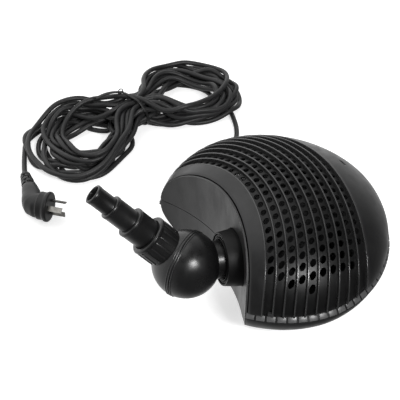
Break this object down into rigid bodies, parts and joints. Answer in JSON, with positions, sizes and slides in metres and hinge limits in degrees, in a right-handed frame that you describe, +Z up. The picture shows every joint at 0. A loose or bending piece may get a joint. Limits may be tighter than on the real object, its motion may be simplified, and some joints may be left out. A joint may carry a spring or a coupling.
{
  "type": "fountain submersible pump",
  "caption": "Flat dome-shaped filter pump with a slotted strainer cage, wet-rotor motor, ball elbow, stepped hose barb and a long tied mains lead.",
  "frame": {"origin": "middle of the flat underside of the cage, on the floor, below the widest point of the cage", "axes": "+Z up, the outlet and hose barb point towards -X, the smooth nose points towards +X"},
  "size_m": [0.3396, 0.5128, 0.1597],
  "materials": {
    "cage": "satin moulded black ABS",
    "fitting": "satin moulded black polypropylene",
    "motor": "plain moulded dark plastic",
    "rubber": "matt moulded black rubber",
    "lead": "matt black rubber sheath",
    "steel": "stainless screws",
    "iron": "stacked electrical steel laminations",
    "copper": "enamelled copper wire",
    "ceramic": "ground white ceramic",
    "ferrite": "sintered dark grey ferrite",
    "pin": "nickel-plated brass"
  },
  "bodies": {
    "pump_base": {"lower_cage": "cage", "outlet_nozzle": "fitting", "neck_seal": "rubber", "pump_chamber": "motor", "intake_cover": "motor", "motor_shaft": "ceramic", "front_bush": "rubber", "rear_bush": "rubber", "motor_plate": "motor", "motor_housing": "motor", "motor_screw_1": "steel", "motor_screw_2": "steel", "motor_screw_3": "steel", "motor_screw_4": "steel", "stator_core": "iron", "winding_upper": "copper", "winding_lower": "copper", "motor_cradle": "motor", "motor_gland": "rubber", "inner_lead": "lead", "cable_gland": "rubber", "lead_to_hank": "lead", "lead_hank": "lead", "cord_tie": "rubber", "lead_to_plug": "lead", "plug_relief": "rubber", "plug_body": "rubber", "plug_pin_live": "pin", "plug_pin_neutral": "pin", "plug_pin_earth": "pin"},
    "cage_top": {"upper_cage": "cage"},
    "near_latch": {"latch_near": "cage"},
    "far_latch": {"latch_far": "cage"},
    "rotor": {"impeller": "motor", "rotor_magnet": "ferrite"},
    "union_nut": {"union_ring": "fitting"},
    "elbow_back": {"ball_inner_half": "fitting"},
    "elbow_front": {"ball_outer_half": "fitting", "ball_seal": "rubber", "barb_gasket": "rubber", "hose_barb": "fitting"},
    "barb_nut": {"hose_nut": "fitting"}
  },
  "joints": [
    {"name": "cage_lift", "type": "slide", "parent": "pump_base", "child": "cage_top", "axis": [0, 0, 1], "range_m": [0, 0.12]},
    {"name": "near_latch_press", "type": "hinge", "parent": "pump_base", "child": "near_latch", "pos_m": [-0.06022, -0.1047, 0.039], "axis": [-0.8138, 0.5812, 0], "range_deg": [0, 8], "stiffness_Nm_per_rad": 0.3},
    {"name": "far_latch_press", "type": "hinge", "parent": "pump_base", "child": "far_latch", "pos_m": [-0.06022, 0.1047, 0.039], "axis": [0.8138, 0.5812, 0], "range_deg": [0, 8], "stiffness_Nm_per_rad": 0.3},
    {"name": "impeller_spin", "type": "hinge", "parent": "pump_base", "child": "rotor", "pos_m": [0.00236, -0.04534, 0.04616], "axis": [0.1994, 0.9799, 0], "continuous": true},
    {"name": "union_ring_turn", "type": "hinge", "parent": "pump_base", "child": "union_nut", "pos_m": [-0.05724, -0.03322, 0.0606], "axis": [-0.9746, 0.1983, 0.1045], "continuous": true},
    {"name": "elbow_swivel", "type": "hinge", "parent": "pump_base", "child": "elbow_back", "pos_m": [-0.11055, -0.02237, 0.06632], "axis": [-0.9746, 0.1983, 0.1045], "continuous": true},
    {"name": "elbow_twist", "type": "hinge", "parent": "elbow_back", "child": "elbow_front", "pos_m": [-0.11055, -0.02237, 0.06632], "axis": [-0.5481, 0.8331, 0.0739], "range_deg": [-190, 65]},
    {"name": "hose_nut_turn", "type": "hinge", "parent": "elbow_front", "child": "barb_nut", "pos_m": [-0.11055, -0.02237, 0.06632], "axis": [-0.5953, 0.395, 0.6997], "continuous": true}
  ]
}
